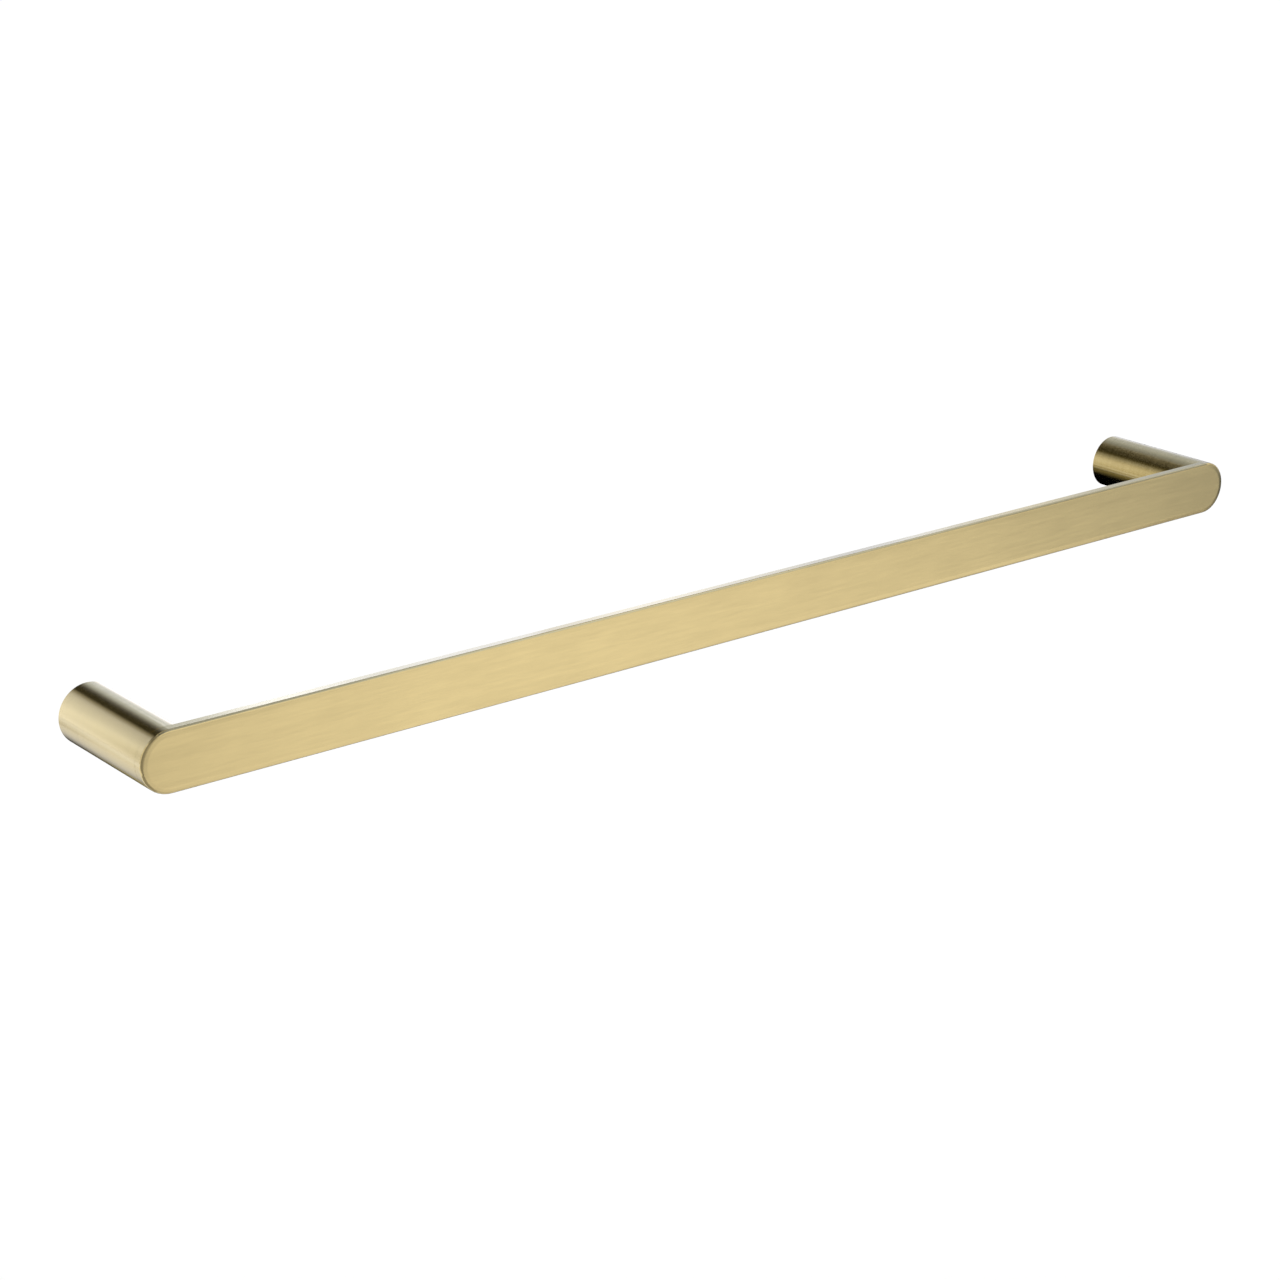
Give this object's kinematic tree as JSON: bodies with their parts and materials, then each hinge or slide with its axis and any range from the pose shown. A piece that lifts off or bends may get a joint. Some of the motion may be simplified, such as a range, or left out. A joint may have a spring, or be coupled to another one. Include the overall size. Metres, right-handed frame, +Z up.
{
  "type": "towel rail",
  "caption": "Wall-mounted towel rail: a slim flat bar with fully rounded ends on plain round posts that hide wall brackets, locked by grub screws from below.",
  "frame": {"origin": "on the wall plane, midway between the posts, at the bar's mid height", "axes": "+X along the bar to the right as seen from the room, +Y from the room into the wall, +Z up"},
  "size_m": [0.6, 0.062, 0.025],
  "materials": {
    "brushed_gold": "fine brushed satin gold, grain along the bar and round the posts",
    "turned_brass": "plain machined",
    "stainless_screws": "satin stainless"
  },
  "bodies": {
    "root": {"rail_bar": "brushed_gold", "left_post": "brushed_gold", "right_post": "brushed_gold", "left_wall_bracket": "turned_brass", "right_wall_bracket": "turned_brass", "bar_screws": "stainless_screws", "lock_washers": "stainless_screws", "grub_screws": "stainless_screws"}
  },
  "joints": []
}
